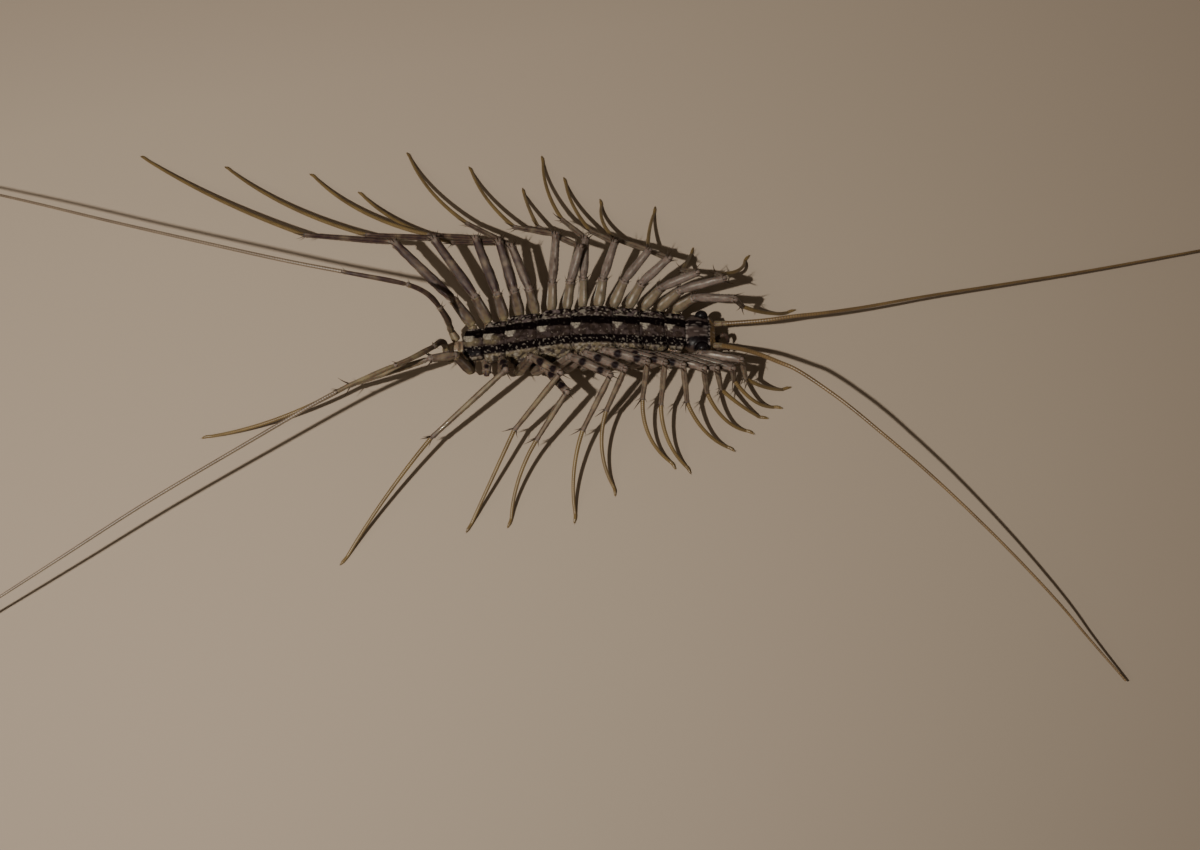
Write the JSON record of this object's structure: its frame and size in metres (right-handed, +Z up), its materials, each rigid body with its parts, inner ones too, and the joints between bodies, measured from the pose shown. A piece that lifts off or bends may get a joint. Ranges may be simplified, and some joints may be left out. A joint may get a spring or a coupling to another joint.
{
  "type": "house centipede",
  "caption": "Life-size still model of a house centipede: a low plated body on long banded thread-ended legs, with long feelers in front and a trailing last pair behind",
  "frame": {"origin": "on the floor, at the middle of the bottom of the bounding box", "axes": "+X towards the head, +Y to the animal's left, +Z up"},
  "size_m": [0.134, 0.0629, 0.0173],
  "materials": {
    "soft_skin": "matte olive brown skin between the plates and the legs",
    "back_plate": "satin grey-brown shell plate with two black stripes and cream marks",
    "head_capsule": "satin brown shell",
    "compound_eye": "glossy black, faceted",
    "limb": "satin, purple-brown and pale bands turning to ochre towards the tips",
    "feeler": "satin golden brown, finely ringed"
  },
  "bodies": {
    "root": {"antenna_left": "feeler", "antenna_right": "feeler", "eye_left": "compound_eye", "eye_right": "compound_eye", "forcipule_left": "head_capsule", "forcipule_right": "head_capsule", "head": "head_capsule", "leg_left_01": "limb", "leg_left_02": "limb", "leg_left_03": "limb", "leg_left_04": "limb", "leg_left_05": "limb", "leg_left_06": "limb", "leg_left_07": "limb", "leg_left_08": "limb", "leg_left_09": "limb", "leg_left_10": "limb", "leg_left_11": "limb", "leg_left_12": "limb", "leg_left_13": "limb", "leg_left_14": "limb", "leg_left_15": "limb", "leg_right_01": "limb", "leg_right_02": "limb", "leg_right_03": "limb", "leg_right_04": "limb", "leg_right_05": "limb", "leg_right_06": "limb", "leg_right_07": "limb", "leg_right_08": "limb", "leg_right_09": "limb", "leg_right_10": "limb", "leg_right_11": "limb", "leg_right_12": "limb", "leg_right_13": "limb", "leg_right_14": "limb", "leg_right_15": "limb", "palp_left": "limb", "palp_right": "limb", "telson": "soft_skin", "tergite_1": "back_plate", "tergite_2": "back_plate", "tergite_3": "back_plate", "tergite_4": "back_plate", "tergite_5": "back_plate", "tergite_6": "back_plate", "tergite_7": "back_plate", "tergite_8": "back_plate", "trunk": "soft_skin"}
  },
  "joints": []
}
